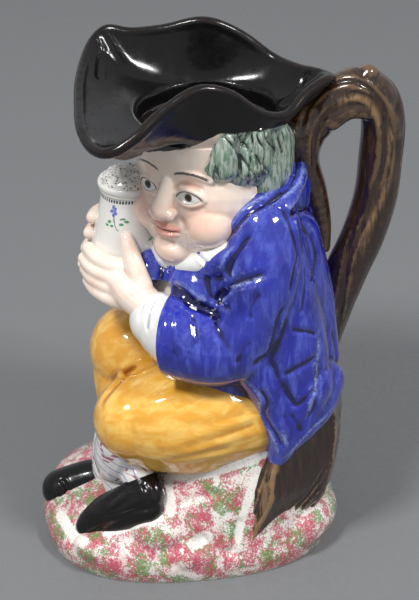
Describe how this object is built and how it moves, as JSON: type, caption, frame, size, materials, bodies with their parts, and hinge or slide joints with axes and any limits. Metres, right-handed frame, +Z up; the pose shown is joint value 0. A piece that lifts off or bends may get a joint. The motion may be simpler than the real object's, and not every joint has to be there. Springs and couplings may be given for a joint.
{
  "type": "toby jug",
  "caption": "Hollow ceramic jug shaped as a seated drinker in a cocked hat whose crown is the pouring mouth, with a branch handle.",
  "frame": {"origin": "on the underside, at the middle of the base", "axes": "+Z up from the base to the hat; the figure faces -Y, so the handle is at +Y; +X is the figure's left"},
  "size_m": [0.1177, 0.1725, 0.25],
  "materials": {
    "glaze": "gloss"
  },
  "bodies": {
    "root": {"toby_jug": "glaze"}
  },
  "joints": []
}
